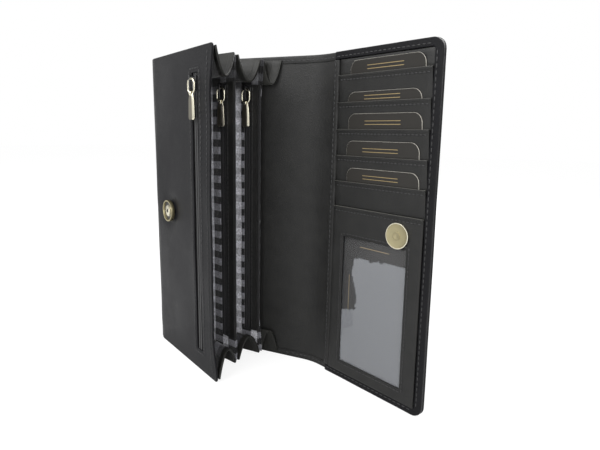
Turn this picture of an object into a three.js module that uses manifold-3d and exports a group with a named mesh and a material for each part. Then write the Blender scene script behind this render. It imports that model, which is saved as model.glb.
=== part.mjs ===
// A ladies' long leather wallet standing on one short end with its flap open, in millimetres, +Z up.
// The origin is the lower end of the back panel, at the closed edge of the pockets.
// +X runs from that closed edge to the mouth of the pockets, and -Y is the front.
import * as THREE from "three";
import { mergeVertices } from "three/addons/utils/BufferGeometryUtils.js";
import Module from "manifold-3d";

const wasm = await Module();
wasm.setup();

// Whole wallet
const height = 195; // long side, which stands upright
const leather = 1.2; // outer leather
const lining = 0.8; // inner leather of the back, the spine and the flap
const cloth = 0.6; // woven check lining of the compartments
const layGap = 0.2; // clearance between layers that lie on each other
const foldGap = 0.3; // clearance at each side of a leather fold
const outerFoldGap = 0.8; // the same at the outer leather, which lets the fold open backwards

// Back, spine and flap
const backDepth = 83.5; // closed edge to the first fold
const flapLength = 84; // second fold to the free edge
const flapAngle = 24.3; // the flap's bend at rest, degrees
const hemWidth = 3; // turned edge along the ends of the back and the spine
const flapHemWidth = 4.5; // turned edge round the flap
const flapHemRise = 2.2; // how far the flap's turned edge stands above its lining
const flapCornerRadius = 6;

// Front panel
const bottomWidth = 12.5; // closed edge: back lining to the front panel's fold
const frontSetback = 0.9; // the front panel's mouth from the first fold
const frontDepth = backDepth - frontSetback;
const frontAngle = 28; // splay from the back panel at rest, degrees
const frontZipInset = 22; // zip centre line from the mouth edge
const frontSlotWidth = 7;
const frontSlotInset = 13.5; // ends of the slot from the wallet's ends
const frontCornerRadius = 2;
const frontTapeHalf = 9;
const frontTapeOverrun = 2; // tape past each end of the slot
const frontSlopeRoom = 2; // where the layers behind the front start to thin out, from its slot

// Zip pocket dividers, front one first
const dividerOneOffset = 6.4; // hinge in front of the back panel's outer leather
const dividerOneSetback = 12.2; // mouth from the first fold
const dividerOneSliderInset = 22.6; // slider from the wallet's top end
const dividerTwoOffset = 3.3;
const dividerTwoSetback = 6.9;
const dividerTwoSliderInset = 22.1;
const dividers = [
  {
    name: "divider_1",
    y: dividerOneOffset,
    depth: backDepth - dividerOneSetback,
    angle: 15,
    sliderZ: height - dividerOneSliderInset,
  },
  {
    name: "divider_2",
    y: dividerTwoOffset,
    depth: backDepth - dividerTwoSetback,
    angle: 2.6,
    sliderZ: height - dividerTwoSliderInset,
  },
];
const dividerHingeX = 2;
const dividerStart = 2.5; // the pocket's closed edge from its hinge
const dividerPileDepth = 8.31; // share of the shut wallet's thickness left for one divider and papers
const dividerRoot = 0.3; // half gap between the pocket's walls at its closed edge
const dividerEndInset = 2; // ends of the walls from the wallet's ends
const dividerFace = 1.6; // outer face of the leather facing from the divider's middle
const facingWidth = 7; // facing on the front side, along the mouth
const dividerSlotWidth = 5.4; // zip opening between the facing and the front wall
const dividerTapeHalf = 8.5;
const zipEnd = 17; // end of a divider's zip from the wallet's end

// Gussets
const gussetThickness = 0.8;
const gussetDip = 14; // depth of the fold at the mouth
const gussetStart = 11; // where the gussets begin, from the closed edge
const gussetEndInset = 1; // top of the gusset from the wallet's end
const gussetOverrun = 4.5; // how far the last gusset's line runs past the first fold before its skew
const gussetSkew = 8; // how far its rim runs past the divider's mouth
const gussetLead = 3; // its further start along the back
const gussetRoomFactor = 3.8; // fold depth allowed by the square of its width

// Card side of the flap
const bandStart = 12.8; // stitched band from the second fold
const bandWidth = 4.2;
const stackHeight = 3; // card panels above the lining
const stripThickness = 0.7;
const cardThickness = 0.5;
const cardGap = 0.15;
const slotPitch = 14.7;
const headRoom = 13.4; // top slot's edge from the wallet's top end
const stripCount = 5;
const stripTuck = 2; // how far a strip runs behind the next one
const cardLeftRoom = 8.2; // card's edges from the edges of the slots
const cardRightRoom = 4.9;
const cardRise = 8; // how far a card stands out of its slot
const cardDepth = 21;
const cardRadius = 5;
const windowLeftRoom = 8.5; // window's edges from the edges of its panel
const windowRightRoom = 7.1;
const windowLow = 12.3;
const windowHeadRoom = 17.3;
const frameThickness = 0.9;
const filmThickness = 0.3;
const filmMargin = 2.4;
const insertMargin = 2;

// Magnetic snap
const snapRadius = 7;
const snapPlateRadius = 4;
const snapDepth = 22.6; // from the front panel's fold
const snapDrop = 10.6; // snap below the top edge of the window's panel
const socketHeight = 2.2;
const socketHole = 3.1;
const studDisc = 1.2;
const studRadius = 2.5;
const studHeight = 1.7;
const backPlate = 0.6;

// Zips
const tape = 0.5;
const teethWidth = 1.3;
const teethGap = 0.4; // half gap between the two rows
const sliderLength = 8;
const sliderWidth = 4.8;
const sliderPlate = 0.8;
const frontSliderInset = 19.3; // slider from the wallet's top end
const bailWidth = 1.6;
const bailSpan = 8;
const bailBar = 0.7;
const ringBar = 1.2;
const ringInner = 4.2;
const ringReach = 8; // between the centres of the ring's two cross bars
const ringCorner = 1.6;
const pivotClear = 0.95; // half the square room that a ring bar turns in
const eyeWall = 0.55;
const pullWidth = 4;
const pullLength = 14.5;
const pullThickness = 0.9;

const rad = THREE.MathUtils.degToRad;
const colours = {
  leather: new THREE.MeshStandardMaterial({ color: 0x1c1c1e, roughness: 0.45 }),
  innerLeather: new THREE.MeshStandardMaterial({ color: 0x222222, roughness: 0.55 }),
  check: new THREE.MeshStandardMaterial({ color: 0x6a6a6c, roughness: 0.9 }),
  metal: new THREE.MeshStandardMaterial({ color: 0xc9c2a6, roughness: 0.25, metalness: 1 }),
  zip: new THREE.MeshStandardMaterial({ color: 0x0e0e10, roughness: 0.8 }),
  film: new THREE.MeshStandardMaterial({ color: 0x9a9ca2, roughness: 0.1, transparent: true, opacity: 0.4 }),
  card: new THREE.MeshStandardMaterial({ color: 0x2a2827, roughness: 0.5 }),
};

// Solids
function solidOf(geometry) {
  const plain = geometry.index ? geometry.toNonIndexed() : geometry.clone();
  plain.deleteAttribute("normal");
  plain.deleteAttribute("uv");
  const merged = mergeVertices(plain, 1e-4);
  return new wasm.Manifold(
    new wasm.Mesh({
      numProp: 3,
      vertProperties: merged.attributes.position.array,
      triVerts: new Uint32Array(merged.index.array),
    }),
  );
}

function geometryOf(solid) {
  const made = solid.getMesh();
  return new THREE.BufferGeometry()
    .setAttribute("position", new THREE.BufferAttribute(made.vertProperties, 3))
    .setIndex(new THREE.BufferAttribute(made.triVerts, 1))
    .toNonIndexed();
}

const join = (first, ...rest) =>
  geometryOf(rest.reduce((sum, g) => sum.add(solidOf(g)), solidOf(first)));
const cut = (first, ...rest) =>
  geometryOf(rest.reduce((left, g) => left.subtract(solidOf(g)), solidOf(first)));

// A box given by its lowest and highest corners.
function block(low, high) {
  const size = high.map((v, i) => v - low[i]);
  return new THREE.BoxGeometry(...size).translate(...low.map((v, i) => v + size[i] / 2));
}

// A rounded rectangle in x and z; radii run from the lower left corner, anticlockwise.
function outline(x0, z0, x1, z1, radii) {
  const [a, b, c, d] = radii;
  const shape = new THREE.Shape().moveTo(x0 + a, z0).lineTo(x1 - b, z0);
  if (b) shape.absarc(x1 - b, z0 + b, b, -Math.PI / 2, 0);
  shape.lineTo(x1, z1 - c);
  if (c) shape.absarc(x1 - c, z1 - c, c, 0, Math.PI / 2);
  shape.lineTo(x0 + d, z1);
  if (d) shape.absarc(x0 + d, z1 - d, d, Math.PI / 2, Math.PI);
  shape.lineTo(x0, z0 + a);
  if (a) shape.absarc(x0 + a, z0 + a, a, Math.PI, 1.5 * Math.PI);
  return shape;
}

// A shape drawn in x and z, extruded from y0 to y1.
function panel(shape, y0, y1, curveSegments = 5) {
  return new THREE.ExtrudeGeometry(shape, { depth: y1 - y0, bevelEnabled: false, curveSegments })
    .rotateX(Math.PI / 2)
    .translate(0, y1, 0);
}

// A closed sheet between two grids of points, a[i][j] and b[i][j].
function sheet(a, b) {
  const rows = a.length;
  const cols = a[0].length;
  const at = (side, i, j) => (side * rows + i) * cols + j;
  const faces = [];
  const quad = (p, q, r, s) => faces.push(p, q, r, p, r, s);
  for (let i = 0; i + 1 < rows; i++) {
    for (let j = 0; j + 1 < cols; j++) {
      quad(at(0, i, j), at(0, i, j + 1), at(0, i + 1, j + 1), at(0, i + 1, j));
      quad(at(1, i, j), at(1, i + 1, j), at(1, i + 1, j + 1), at(1, i, j + 1));
    }
    quad(at(0, i, 0), at(0, i + 1, 0), at(1, i + 1, 0), at(1, i, 0));
    quad(at(0, i + 1, cols - 1), at(0, i, cols - 1), at(1, i, cols - 1), at(1, i + 1, cols - 1));
  }
  for (let j = 0; j + 1 < cols; j++) {
    quad(at(0, 0, j + 1), at(0, 0, j), at(1, 0, j), at(1, 0, j + 1));
    quad(at(0, rows - 1, j), at(0, rows - 1, j + 1), at(1, rows - 1, j + 1), at(1, rows - 1, j));
  }
  const points = [...a, ...b].flat(2);
  const made = new THREE.BufferGeometry()
    .setAttribute("position", new THREE.Float32BufferAttribute(points, 3));
  made.setIndex(faces);
  if (solidOf(made).volume() < 0) made.setIndex(faces.reverse());
  return made.toNonIndexed();
}

// Positions across the wallet: the back's lining face, and the two faces of its outer leather.
const backInner = -1.3;
const shellFront = backInner + lining + layGap;
const shellBack = shellFront + leather;

// Depth of everything behind the middle of the front leather, down to the inner face.
const frontStack =
  leather / 2 + layGap + tape + layGap + sliderPlate + layGap + tape + layGap + cloth;

// The front's angle when the wallet is shut and each leaf lies on the one behind it.
const pileFace = -backInner + 5 * foldGap + 2 * dividerPileDepth;
const shutAngle = Math.atan(
  (pileFace + frontStack - bottomWidth) / (dividerHingeX + dividers[0].depth),
);

// The spine is as wide as the shut wallet is thick there, and the stud then meets the socket.
const snapStack =
  leather / 2 + layGap + socketHeight + layGap + studDisc + cardGap + stackHeight;
const spineWidth =
  snapStack / Math.cos(shutAngle) + backDepth * Math.tan(shutAngle) + bottomWidth + backInner;
const studX =
  backDepth * Math.cos(shutAngle) +
  (spineWidth - backInner - bottomWidth) * Math.sin(shutAngle) -
  snapDepth;

const wallet = new THREE.Group();

function add(parent, name, geometry, material) {
  const mesh = new THREE.Mesh(geometry, material);
  mesh.name = name;
  parent.add(mesh);
  return mesh;
}

function group(parent, x, y, z, degrees) {
  const made = new THREE.Group();
  made.position.set(x, y, z);
  made.rotation.z = rad(degrees);
  parent.add(made);
  return made;
}

// A layer of leather with its ends turned over, between x0 and x1, drawn in y and z.
function hemmedLeather(x0, x1) {
  const section = [
    [shellBack, 0],
    [shellBack, height],
    [backInner, height],
    [backInner, height - hemWidth],
    [shellFront, height - hemWidth],
    [shellFront, hemWidth],
    [backInner, hemWidth],
    [backInner, 0],
  ].map(([y, z]) => new THREE.Vector2(-z, y));
  return new THREE.ExtrudeGeometry(new THREE.Shape(section), { depth: x1 - x0, bevelEnabled: false })
    .rotateY(Math.PI / 2)
    .translate(x0, 0, 0);
}

// Back panel: lining on the inside and outer leather behind it, which turns round the closed edge.
function backPanel() {
  const wallEnd = -bottomWidth + leather / 2 + foldGap;
  const wall = block([-leather / 2, wallEnd, 0], [leather / 2, shellBack, height]);
  const hemmed = hemmedLeather(0, backDepth - outerFoldGap);
  add(wallet, "back_leather", join(wall, hemmed), colours.leather);
  const low = hemWidth + layGap;
  add(
    wallet,
    "back_lining",
    block([leather / 2 + layGap, backInner, low], [backDepth - foldGap, backInner + lining, height - low]),
    colours.innerLeather,
  );
}

// Spine: the same two layers between the two folds.
function spinePanel() {
  const x1 = backDepth + spineWidth - layGap;
  add(wallet, "spine_leather", hemmedLeather(backDepth + outerFoldGap, x1), colours.leather);
  const low = hemWidth + layGap;
  add(
    wallet,
    "spine_lining",
    block([backDepth + foldGap, backInner, low], [x1, backInner + lining, height - low]),
    colours.innerLeather,
  );
}

// The flap lies in its own frame: x along it from the second fold, y 0 at its lining's inner face, -y inwards.
const flap = group(wallet, backDepth + spineWidth, backInner, 0, -flapAngle);
const fieldStart = bandStart + bandWidth + layGap;
const fieldEnd = flapLength - flapHemWidth - layGap;
const fieldLow = flapHemWidth + layGap;
const fieldHigh = height - fieldLow;
const topSlotZ = height - headRoom;
const slotZ = (n) => topSlotZ - n * slotPitch;
const snapZ = slotZ(stripCount) - snapDrop;

function flapShell() {
  const start = layGap;
  const corners = [0, flapCornerRadius, flapCornerRadius, 0];
  const shellY = lining + layGap;
  const whole = panel(outline(start, 0, flapLength, height, corners), -flapHemRise, shellY + leather, 6);
  const well = block(
    [start - 1, -flapHemRise - 1, flapHemWidth],
    [flapLength - flapHemWidth, shellY, height - flapHemWidth],
  );
  const foldSide = block([start - 1, -flapHemRise - 1, -1], [bandStart, 0, height + 1]);
  add(flap, "flap_leather", cut(whole, well, foldSide), colours.leather);
  add(
    flap,
    "flap_lining",
    block([start, 0, fieldLow], [fieldEnd, lining, fieldHigh]),
    colours.innerLeather,
  );
  add(
    flap,
    "flap_fold_band",
    block([bandStart, -stackHeight + cardGap, fieldLow], [bandStart + bandWidth, -layGap, fieldHigh]),
    colours.innerLeather,
  );
}

// Each strip is tilted like a roof tile: its top edge is proud and its foot runs behind the next strip.
const tileStep = stripThickness + 2 * cardGap + cardThickness;

function tile(x0, x1, zLow, zHigh, zTop, y, thickness) {
  const slope = tileStep / slotPitch;
  const depth = (z) => y + (zTop - z) * slope;
  const grid = (offset) =>
    [x0, x1].map((x) => [zLow, zHigh].map((z) => [x, depth(z) + offset, z]));
  return sheet(grid(0), grid(thickness));
}

function cardSlots() {
  const top = -stackHeight;
  const headTop = top + tileStep;
  add(
    flap,
    "card_panel_head",
    block([fieldStart, headTop, topSlotZ], [fieldEnd, headTop + stripThickness, fieldHigh]),
    colours.innerLeather,
  );
  for (let n = 0; n < stripCount; n++) {
    const foot = slotZ(n + 1) - stripTuck;
    add(
      flap,
      `card_slot_${n + 1}`,
      tile(fieldStart, fieldEnd, foot, slotZ(n), slotZ(n), top, stripThickness),
      colours.innerLeather,
    );
  }
}

function cards() {
  const left = fieldStart + cardLeftRoom;
  const right = fieldEnd - cardRightRoom;
  for (let n = 0; n < stripCount; n++) {
    const z = slotZ(n);
    const shape = outline(left, z + cardRise - cardDepth, right, z + cardRise, [
      0, 0, cardRadius, cardRadius,
    ]);
    // The card leans with its strip, so it is a flat panel sheared back towards its foot.
    const flat = panel(shape, 0, cardThickness, 4);
    const p = flat.attributes.position;
    const slope = tileStep / slotPitch;
    for (let i = 0; i < p.count; i++) {
      const lean = (z - p.getZ(i)) * slope;
      p.setY(i, p.getY(i) + lean - stackHeight + stripThickness + cardGap);
    }
    add(flap, `card_${n + 1}`, flat, colours.card);
  }
}

function windowPocket() {
  const top = -stackHeight;
  const x0 = fieldStart + windowLeftRoom;
  const x1 = fieldEnd - windowRightRoom;
  const windowHigh = slotZ(stripCount) - windowHeadRoom;
  const frame = outline(fieldStart, fieldLow, fieldEnd, slotZ(stripCount), [0, 0, 0, 0]);
  frame.holes.push(outline(x0, windowLow, x1, windowHigh, [1, 1, 1, 1]));
  const plate = panel(frame, top, top + frameThickness, 2);
  add(flap, "window_frame", plate, colours.innerLeather);
  const filmY = top + frameThickness + cardGap;
  add(
    flap,
    "window_film",
    block(
      [x0 - filmMargin, filmY, windowLow - filmMargin],
      [x1 + filmMargin, filmY + filmThickness, windowHigh + filmMargin],
    ),
    colours.film,
  );
  const cardY = filmY + filmThickness + cardGap;
  add(
    flap,
    "window_card",
    block(
      [x0 - insertMargin, cardY, windowLow - insertMargin],
      [x1 + insertMargin, cardY + cardThickness, windowHigh + insertMargin],
    ),
    colours.card,
  );
}

function disc(radius, y0, y1, segments = 24) {
  return new THREE.CylinderGeometry(radius, radius, y1 - y0, segments).translate(0, (y0 + y1) / 2, 0);
}

function snapStud() {
  const face = -stackHeight - cardGap;
  const stud = join(disc(snapRadius, face - studDisc, face), disc(studRadius, face - studDisc - studHeight, face));
  add(flap, "snap_stud", stud.translate(studX, 0, snapZ), colours.metal);
  const behind = -stackHeight + frameThickness + layGap;
  const plate = disc(snapPlateRadius, behind, behind + backPlate, 16);
  add(flap, "snap_stud_plate", plate.translate(studX, 0, snapZ), colours.metal);
}

// Front panel in its own frame: x along it from its fold, y 0 in the middle of its leather, -y outwards.
const front = group(wallet, 0, -bottomWidth, 0, -frontAngle);

function frontPanel() {
  const corners = [0, frontCornerRadius, frontCornerRadius, 0];
  const shape = outline(0, 0, frontDepth, height, corners);
  const centre = frontDepth - frontZipInset;
  const side = frontSlotWidth / 2;
  shape.holes.push(
    outline(centre - side, frontSlotInset, centre + side, height - frontSlotInset, [1, 1, 1, 1]),
  );
  const flat = panel(shape, -leather / 2, leather / 2, 3);
  const bead = new THREE.CylinderGeometry(leather / 2, leather / 2, height, 12)
    .rotateX(Math.PI / 2)
    .translate(0, 0, height / 2);
  add(front, "front_leather", join(flat, bead), colours.leather);
  const inner = frontStack - cloth;
  const start = 3;
  const inset = 1;
  const slopeStart = centre + side + frontSlopeRoom;
  const section = [
    [start, inner],
    [slopeStart, inner],
    [frontDepth - inset, leather / 2 + layGap],
  ];
  const grid = (offset) => section.map(([x, y]) => [inset, height - inset].map((z) => [x, y + offset, z]));
  add(front, "front_lining", sheet(grid(0), grid(cloth)), colours.check);
  const bag = inner - layGap - tape;
  add(
    front,
    "front_zip_pocket",
    block([start + inset, bag, hemWidth], [slopeStart - inset, bag + tape, height - hemWidth]),
    colours.zip,
  );
}

function snapSocket() {
  const face = -leather / 2 - layGap;
  const ring = cut(disc(snapRadius, face - socketHeight, face), disc(socketHole, face - socketHeight - 1, face - 0.5));
  add(front, "snap_socket", ring.translate(snapDepth, 0, snapZ), colours.metal);
  const plate = disc(snapPlateRadius, leather / 2 + layGap, leather / 2 + layGap + backPlate, 16);
  add(front, "snap_socket_plate", plate.translate(snapDepth, 0, snapZ), colours.metal);
}

// A zip in its own frame: x across it, y 0 in the middle of the leather it is sewn under, +y outwards.
function zip(parent, name, z0, z1, tapeHalf, teethInset, sliderZ) {
  const low = -leather / 2 - layGap - tape;
  for (const [side, word] of [[-1, "left"], [1, "right"]]) {
    const stringer = join(
      block([teethGap, low, z0], [tapeHalf, low + tape, z1]),
      block([teethGap, low, z0 + teethInset], [teethGap + teethWidth, 0, z1 - teethInset]),
    );
    // Turning the right-hand stringer end over end gives the left-hand one.
    if (side < 0) stringer.rotateY(Math.PI).translate(0, 0, z0 + z1);
    add(parent, `${name}_${word}_tape`, stringer, colours.zip);
  }
  const pivot = leather / 2 + layGap + eyeWall + pivotClear;
  slider(parent, name, low, pivot, sliderZ);
  const pivotZ = sliderZ + bailSpan / 2 - bailBar - pivotClear - 0.1;
  ring(parent, name, pivot, pivotZ);
  pull(parent, name, pivot, pivotZ - ringReach);
}

function slider(parent, name, low, pivot, z) {
  const half = sliderWidth / 2;
  const long = sliderLength / 2;
  const upper = layGap + sliderPlate;
  const roof = pivot + pivotClear;
  const span = bailSpan / 2;
  const body = join(
    block([-half, layGap, -long], [half, upper, long]),
    block([-half, low - layGap - sliderPlate, -long], [half, low - layGap, long]),
    block([-teethGap / 2, low - layGap - 0.1, 0], [teethGap / 2, layGap + 0.1, long]),
    block([-bailWidth / 2, upper - 0.1, -span], [bailWidth / 2, roof + bailBar, -span + bailBar]),
    block([-bailWidth / 2, upper - 0.1, span - bailBar], [bailWidth / 2, roof + bailBar, span]),
    block([-bailWidth / 2, roof, -span], [bailWidth / 2, roof + bailBar, span]),
  );
  add(parent, `${name}_slider`, body, colours.metal).position.z = z;
}

function ring(parent, name, y, z) {
  const half = ringInner / 2;
  const bar = ringBar / 2;
  const corners = Array(4).fill(ringCorner);
  const inner = Array(4).fill(ringCorner - ringBar / 2);
  const shape = outline(-half - ringBar, -ringReach - bar, half + ringBar, bar, corners);
  shape.holes.push(outline(-half, -ringReach + bar, half, -bar, inner));
  add(parent, `${name}_ring`, panel(shape, -bar, bar, 4), colours.metal).position.set(0, y, z);
}

function pull(parent, name, y, z) {
  const eye = new THREE.Shape().absarc(0, 0, pivotClear + eyeWall, 0, 2 * Math.PI);
  eye.holes.push(new THREE.Path().absarc(0, 0, pivotClear, 0, 2 * Math.PI));
  const eyeWidth = ringInner - 2 * (ringCorner - ringBar / 2);
  const tube = new THREE.ExtrudeGeometry(eye, { depth: eyeWidth, bevelEnabled: false, curveSegments: 7 })
    .rotateY(Math.PI / 2)
    .translate(-eyeWidth / 2, 0, 0);
  const half = pullWidth / 2;
  const tip = Array(2).fill(half * 0.7);
  const plate = panel(
    outline(-half, -pullLength, half, -pivotClear - eyeWall / 2, [...tip, 0, 0]),
    -pullThickness / 2,
    pullThickness / 2,
    4,
  );
  add(parent, `${name}_pull`, join(tube, plate), colours.metal).position.set(0, y, z);
}

// Dividers in their own frame: x along them from the hinge, y 0 in the middle, -y the zip side.
const zipLeather = -dividerFace + leather / 2;
const zipRoom = zipLeather + leather / 2 + 3 * layGap + tape + sliderPlate;

// Inner face of a divider's wall from the middle: near at the closed edge, pinched at both ends.
function wallGap(x, z, slotEdge, open) {
  const along = Math.min(1, (x - dividerStart) / (slotEdge - dividerStart));
  const wide = THREE.MathUtils.lerp(dividerRoot, open, along);
  const fromEnd = Math.min(z, height - z);
  const pinch = THREE.MathUtils.clamp((fromEnd - dividerEndInset) / (zipEnd - dividerEndInset), 0, 1);
  return THREE.MathUtils.lerp(dividerRoot, wide, pinch);
}

function divider({ name, y, depth, angle, sliderZ }) {
  const leaf = group(wallet, dividerHingeX, -y, 0, -angle);
  const zs = [dividerEndInset, zipEnd, height - zipEnd, height - dividerEndInset];
  const facingEdge = depth - facingWidth;
  const clothEdge = facingEdge - dividerSlotWidth;
  const wall = (xs, side, open) => {
    const grid = (offset) =>
      xs.map((x) => zs.map((z) => [x, side * (open(x, z) + offset), z]));
    return sheet(grid(0), grid(cloth));
  };
  const half = (dividerStart + clothEdge) / 2;
  const whole = wall([dividerStart, half, clothEdge, depth], -1, (x, z) =>
    wallGap(x, z, clothEdge, dividerFace - leather),
  );
  const opening = block(
    [clothEdge, -dividerFace, zipEnd - layGap],
    [depth + 1, dividerFace, height - zipEnd + layGap],
  );
  add(leaf, `${name}_front_wall`, cut(whole, opening), colours.check);
  const mouthGap = zipLeather + leather / 2 + 2 * layGap + tape;
  const back = wall([dividerStart, half, facingEdge, depth], 1, (x, z) =>
    wallGap(x, z, facingEdge, x < depth ? zipRoom : mouthGap),
  );
  add(leaf, `${name}_back_wall`, back, colours.check);
  add(
    leaf,
    `${name}_facing`,
    block([facingEdge, -dividerFace, zipEnd], [depth, leather - dividerFace, height - zipEnd]),
    colours.innerLeather,
  );
  const opened = group(leaf, facingEdge - dividerSlotWidth / 2, zipLeather, 0, 180);
  zip(opened, `${name}_zip`, zipEnd, height - zipEnd, dividerTapeHalf, 0, sliderZ);
}

// Gussets join each leaf's end to the next one's, with a fold that dips into the wallet.
function leafLine(x, y, degrees, offsetAt, from, to) {
  const a = rad(degrees);
  return (t) => {
    const along = THREE.MathUtils.lerp(from, to, t);
    const offset = offsetAt(along);
    return new THREE.Vector2(
      x + along * Math.cos(a) + offset * Math.sin(a),
      y - along * Math.sin(a) + offset * Math.cos(a),
    );
  };
}

function gusset(name, lineA, lineB) {
  const steps = 5;
  const across = 8;
  const half = gussetThickness / 2;
  const top = height - gussetEndInset;
  for (const [isTop, word] of [[true, "top"], [false, "bottom"]]) {
    const grid = (side) =>
      Array.from({ length: steps + 1 }, (_, i) => {
        const a = lineA(i / steps);
        const b = lineB(i / steps);
        const width = a.distanceTo(b);
        const dip = Math.min(gussetDip, (width * width) / gussetRoomFactor);
        return Array.from({ length: across + 1 }, (_, j) => {
          const s = j / across;
          const p = a.clone().lerp(b, s);
          const slope = (-4 * dip * (1 - 2 * s)) / width;
          const scale = (side * half) / Math.hypot(1, slope);
          const shift = b.clone().sub(a).divideScalar(width).multiplyScalar(-slope * scale);
          const z = top - 4 * dip * s * (1 - s) + scale;
          return [p.x + shift.x, p.y + shift.y, isTop ? z : height - z];
        });
      });
    add(wallet, `${name}_${word}`, sheet(grid(1), grid(-1)), colours.leather);
  }
}

function gussets() {
  const [one, two] = dividers;
  const clear = gussetThickness / 2 + layGap;
  const ridge = dividerRoot + cloth + clear;
  const on = (leaf, side) =>
    leafLine(dividerHingeX, -leaf.y, leaf.angle, () => side * ridge, gussetStart, leaf.depth);
  // The front's layers thin out towards its mouth, and the last stretch of the rim follows them.
  const frontEnd = frontDepth - 2;
  const thinned = leather / 2 + 2 * layGap + cloth;
  const behind = (x) => (x < frontEnd ? frontStack : thinned) + clear;
  const frontLine = leafLine(0, -bottomWidth, frontAngle, behind, gussetStart, frontEnd);
  const lastX = (t) => THREE.MathUtils.lerp(gussetStart + gussetSkew + gussetLead, backDepth + gussetOverrun, t);
  const backLine = (t) => new THREE.Vector2(lastX(t) - gussetSkew * (1 - t ** 6), backInner - clear);
  gusset("gusset_1", frontLine, on(one, -1));
  gusset("gusset_2", on(one, 1), on(two, -1));
  gusset("gusset_3", on(two, 1), backLine);
}

backPanel();
spinePanel();
flapShell();
cardSlots();
cards();
windowPocket();
snapStud();
frontPanel();
snapSocket();
const frontZip = group(front, frontDepth - frontZipInset, 0, 0, 180);
zip(
  frontZip,
  "front_zip",
  frontSlotInset - frontTapeOverrun,
  height - frontSlotInset + frontTapeOverrun,
  frontTapeHalf,
  frontTapeOverrun + layGap,
  height - frontSliderInset,
);
dividers.forEach(divider);
gussets();

export default wallet;
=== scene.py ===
import math

import bmesh
import bpy
from mathutils import Matrix, Vector, noise


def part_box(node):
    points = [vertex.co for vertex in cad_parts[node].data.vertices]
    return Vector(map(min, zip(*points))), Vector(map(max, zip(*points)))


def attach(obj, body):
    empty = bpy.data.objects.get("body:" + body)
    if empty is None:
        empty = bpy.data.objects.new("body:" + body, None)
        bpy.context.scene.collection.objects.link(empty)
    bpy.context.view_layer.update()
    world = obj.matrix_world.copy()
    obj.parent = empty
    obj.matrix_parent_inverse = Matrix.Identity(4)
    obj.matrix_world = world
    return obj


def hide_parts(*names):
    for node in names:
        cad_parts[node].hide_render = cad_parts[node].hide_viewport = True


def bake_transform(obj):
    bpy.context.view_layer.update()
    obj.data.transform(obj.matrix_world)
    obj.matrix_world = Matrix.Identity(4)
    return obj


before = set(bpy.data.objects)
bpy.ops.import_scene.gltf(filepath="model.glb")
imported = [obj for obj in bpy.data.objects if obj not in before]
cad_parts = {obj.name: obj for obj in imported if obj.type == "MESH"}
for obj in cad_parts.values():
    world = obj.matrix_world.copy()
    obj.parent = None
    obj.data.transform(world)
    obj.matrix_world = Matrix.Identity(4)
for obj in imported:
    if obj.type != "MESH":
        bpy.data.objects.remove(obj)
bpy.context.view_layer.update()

# All lengths below are millimetres; a finished piece is brought to metres by its leaf's matrix.
wallet = {
    "height": 195.0,
    "backInner": -1.3,  # inner face of the back and the spine
    "shell": 2.2,  # both leathers of the back, the spine and the flap together
    "foldTwo": 114.542,
    "seam": 99.0,  # middle of the spine, where the two halves of the cover meet
}

leaves = {
    "back": (0.0, 0.0, 0.0),
    "flap": (114.542, -1.3, 24.3),
    "front": (0.0, -12.5, 28.0),
    "dividerOne": (2.0, -6.4, 15.0),
    "dividerTwo": (2.0, -3.3, 2.6),
}


def leafMatrix(leaf):
    x, y, angle = leaves[leaf]
    place = Matrix.Translation((x, y, 0)) @ Matrix.Rotation(math.radians(-angle), 4, "Z")
    return Matrix.Scale(0.001, 4) @ place


# ---- camera, light and floor
view = {
    "place": (0.2095, -0.2635, 0.1476),
    "heading": 22.03,
    "tiltDown": 11.14,
    "roll": 1.36,
    "lens": 27.0,
}


def makeCamera():
    data = bpy.data.cameras.new("camera")
    data.lens = view["lens"]
    data.sensor_width = 36.0
    data.clip_start = 0.01
    camera = bpy.data.objects.new("camera", data)
    turn = Matrix.Rotation(math.radians(view["heading"]), 4, "Z")
    turn = turn @ Matrix.Rotation(math.radians(90 - view["tiltDown"]), 4, "X")
    turn = turn @ Matrix.Rotation(math.radians(view["roll"]), 4, "Z")
    camera.matrix_world = Matrix.Translation(view["place"]) @ turn
    bpy.context.scene.collection.objects.link(camera)
    bpy.context.scene.camera = camera


makeCamera()
bpy.context.scene.view_settings.view_transform = "Standard"
print("camera placed")


# ---- materials
def toLinear(hexColour):
    values = [int(hexColour[i:i + 2], 16) / 255 for i in (1, 3, 5)]
    return [v / 12.92 if v <= 0.04045 else ((v + 0.055) / 1.055) ** 2.4 for v in values] + [1.0]


def addNode(tree, kind, settings=None, links=None):
    node = tree.nodes.new(kind)
    for key, value in (settings or {}).items():
        if isinstance(key, str) and hasattr(node, key):
            setattr(node, key, value)
        else:
            node.inputs[key].default_value = value
    for key, source in (links or {}).items():
        tree.links.new(source, node.inputs[key])
    return node


def startMaterial(name, settings):
    material = bpy.data.materials.new(name)
    material.use_nodes = True
    tree = material.node_tree
    tree.nodes.clear()
    shader = addNode(tree, "ShaderNodeBsdfPrincipled", settings)
    addNode(tree, "ShaderNodeOutputMaterial", links={"Surface": shader.outputs["BSDF"]})
    place = addNode(tree, "ShaderNodeTexCoord").outputs["Object"]
    return material, tree, shader, place


# Uneven patches about as wide as "size", in millimetres.
def mottle(tree, place, size, detail):
    return addNode(tree, "ShaderNodeTexNoise", {"Scale": 1000 / size, "Detail": detail}, {"Vector": place})


# Parallel ribs, one every "pitch" millimetres.
def ribbed(tree, place, direction, pitch, distortion=0.0):
    return addNode(tree, "ShaderNodeTexWave", {
        "bands_direction": direction, "Scale": 1000 / pitch / 20 * math.pi, "Distortion": distortion}, {
        "Vector": place})


def relief(tree, shader, height, depth, strength=1.0):
    bump = addNode(tree, "ShaderNodeBump", {"Distance": depth / 1000, "Strength": strength}, {
        "Height": height})
    tree.links.new(bump.outputs["Normal"], shader.inputs["Normal"])


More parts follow.
